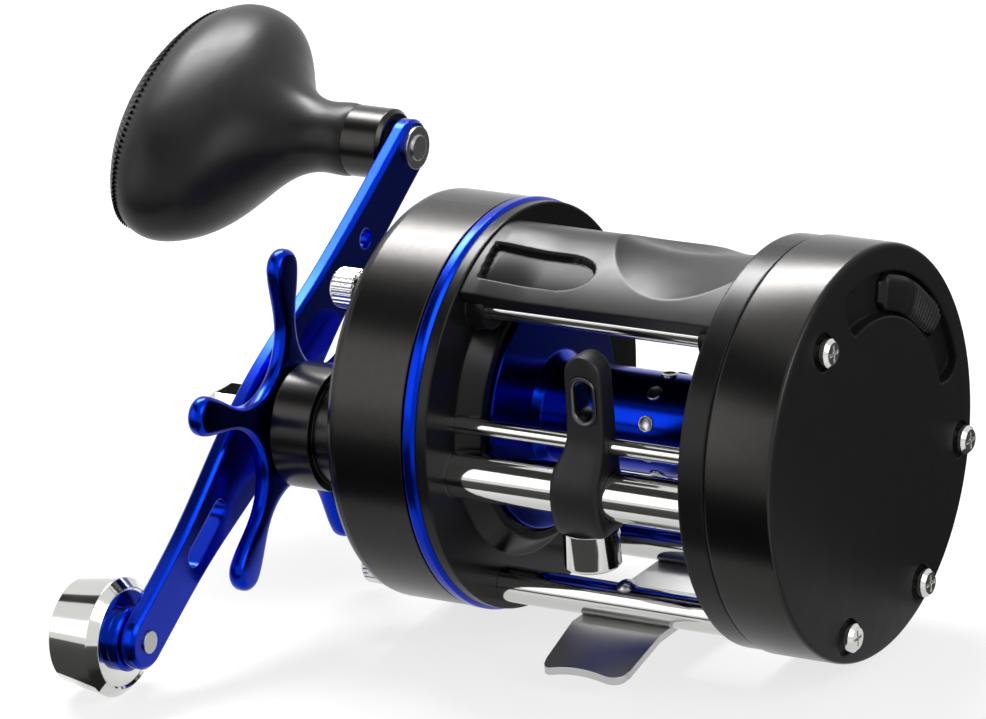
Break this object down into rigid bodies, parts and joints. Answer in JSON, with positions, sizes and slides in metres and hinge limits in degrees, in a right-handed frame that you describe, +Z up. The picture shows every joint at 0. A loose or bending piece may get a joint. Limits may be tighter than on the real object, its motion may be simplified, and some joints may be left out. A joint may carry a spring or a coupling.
{
  "type": "trolling reel",
  "caption": "Round conventional fishing reel with level wind, star drag, counterweighted power handle and a foot for a rod seat.",
  "frame": {"origin": "middle of the reel foot's flat underside, where it is seated on the rod", "axes": "+X along the spool's axis away from the handle, -Y forward to the line guide, +Z up from the rod"},
  "size_m": [0.1397, 0.1098, 0.0727],
  "materials": {
    "black_gloss": "gloss black anodised side plates",
    "black_satin": "satin black frame and thumb rest",
    "black_matte": "matte black moulding",
    "blue_anodised": "bright blue anodised aluminium",
    "chrome": "polished chrome",
    "steel": "satin steel",
    "dark_steel": "dark polished hard ring",
    "brass": "machined brass",
    "rubber": "soft touch black grip",
    "friction": "woven friction disc",
    "white_plastic": "pale bearing plastic"
  },
  "bodies": {
    "frame": {"frame_right_ring": "black_satin", "frame_left_ring": "black_satin", "thumb_rest": "black_matte", "pillar_top_front": "chrome", "pillar_low_front": "chrome", "pillar_low_rear": "chrome", "pillar_rear": "chrome", "reel_foot": "steel", "foot_rivets": "steel", "trim_ring": "blue_anodised", "right_side_cover": "black_gloss", "gear_bridge": "steel", "yoke_posts": "steel", "left_side_cover": "black_gloss", "cover_screws": "chrome", "thumb_screws": "chrome", "worm_tube": "chrome", "worm_bushes": "white_plastic", "guide_rod": "chrome", "spool_bearings": "steel", "drive_bearing": "steel", "roller_clutch": "steel", "brake_drum": "brass", "click_pin": "steel", "yoke_springs": "steel"},
    "crank": {"drive_shaft": "steel", "drag_sleeve": "steel", "main_gear": "brass", "drag_washers": "friction", "level_wind_drive_gear": "white_plastic", "handle_arm": "blue_anodised", "handle_nut": "chrome", "knob_spindle": "steel", "knob_spacer": "chrome", "weight_boss": "blue_anodised", "counterweight": "chrome", "weight_pin": "steel"},
    "star": {"star_wheel": "blue_anodised"},
    "knob": {"power_knob": "rubber", "knob_ferrule": "dark_steel", "knob_bearings": "steel"},
    "spool": {"spool": "blue_anodised", "spool_shaft": "steel", "drive_pin": "steel", "brake_hub": "black_matte", "brake_blocks": "friction", "click_gear": "brass"},
    "pinion": {"pinion_gear": "brass"},
    "yoke": {"pinion_yoke": "black_matte"},
    "clutch": {"clutch_button": "black_gloss", "clutch_slider": "steel"},
    "worm": {"worm_shaft": "steel", "worm_gear": "white_plastic"},
    "carriage": {"line_guide": "black_matte", "guide_insert": "dark_steel", "pawl_cap": "chrome"},
    "pawl": {"guide_pawl": "brass"},
    "click_switch": {"click_slider": "black_gloss"},
    "click_tongue": {"click_pawl": "steel"},
    "tension": {"tension_cap": "black_gloss"}
  },
  "joints": [
    {"name": "handle_spin", "type": "hinge", "parent": "frame", "child": "crank", "pos_m": [0, -0.01405, 0.02529], "axis": [1, 0, 0], "continuous": true},
    {"name": "star_turn", "type": "hinge", "parent": "crank", "child": "star", "pos_m": [0, -0.01405, 0.02529], "axis": [1, 0, 0], "range_deg": [-180, 360]},
    {"name": "knob_spin", "type": "hinge", "parent": "crank", "child": "knob", "pos_m": [-0.0598, 0.0305, 0.05269], "axis": [1, 0, 0], "continuous": true},
    {"name": "spool_spin", "type": "hinge", "parent": "frame", "child": "spool", "pos_m": [0, 0, 0.02716], "axis": [1, 0, 0], "continuous": true},
    {"name": "worm_spin", "type": "hinge", "parent": "frame", "child": "worm", "pos_m": [0, -0.02141, 0.02452], "axis": [1, 0, 0], "continuous": true},
    {"name": "clutch_press", "type": "slide", "parent": "frame", "child": "clutch", "axis": [0, 0, -1], "range_m": [0, 0.0035], "stiffness_N_per_m": 250},
    {"name": "yoke_slide", "type": "slide", "parent": "frame", "child": "yoke", "axis": [-1, 0, 0], "range_m": [0, 0.002], "deforming": ["yoke_springs"]},
    {"name": "pinion_spin", "type": "hinge", "parent": "yoke", "child": "pinion", "pos_m": [0, 0, 0.02716], "axis": [1, 0, 0], "continuous": true},
    {"name": "guide_travel", "type": "slide", "parent": "frame", "child": "carriage", "axis": [1, 0, 0], "range_m": [-0.0143, 0.0123]},
    {"name": "pawl_swivel", "type": "hinge", "parent": "carriage", "child": "pawl", "pos_m": [0.001, -0.02141, 0.01902], "axis": [0, 0, 1], "range_deg": [-20, 20]},
    {"name": "click_switch_slide", "type": "hinge", "parent": "frame", "child": "click_switch", "pos_m": [0.0353, 0, 0.02716], "axis": [1, 0, 0], "range_deg": [0, 20]},
    {"name": "click_tongue_swing", "type": "hinge", "parent": "frame", "child": "click_tongue", "pos_m": [0.0222, 0.00868, 0.03616], "axis": [1, 0, 0], "range_deg": [0, 10]},
    {"name": "tension_turn", "type": "hinge", "parent": "frame", "child": "tension", "pos_m": [-0.0377, 0, 0.02716], "axis": [1, 0, 0], "range_deg": [-360, 360]}
  ],
  "couplings": [
    {"joint": "spool_spin", "follows": "handle_spin", "ratio": -5.3},
    {"joint": "pinion_spin", "follows": "handle_spin", "ratio": -5.3},
    {"joint": "worm_spin", "follows": "handle_spin", "ratio": -1.8462},
    {"joint": "yoke_slide", "follows": "clutch_press", "ratio": 0.57143},
    {"joint": "click_tongue_swing", "follows": "click_switch_slide", "ratio": 0.5}
  ]
}
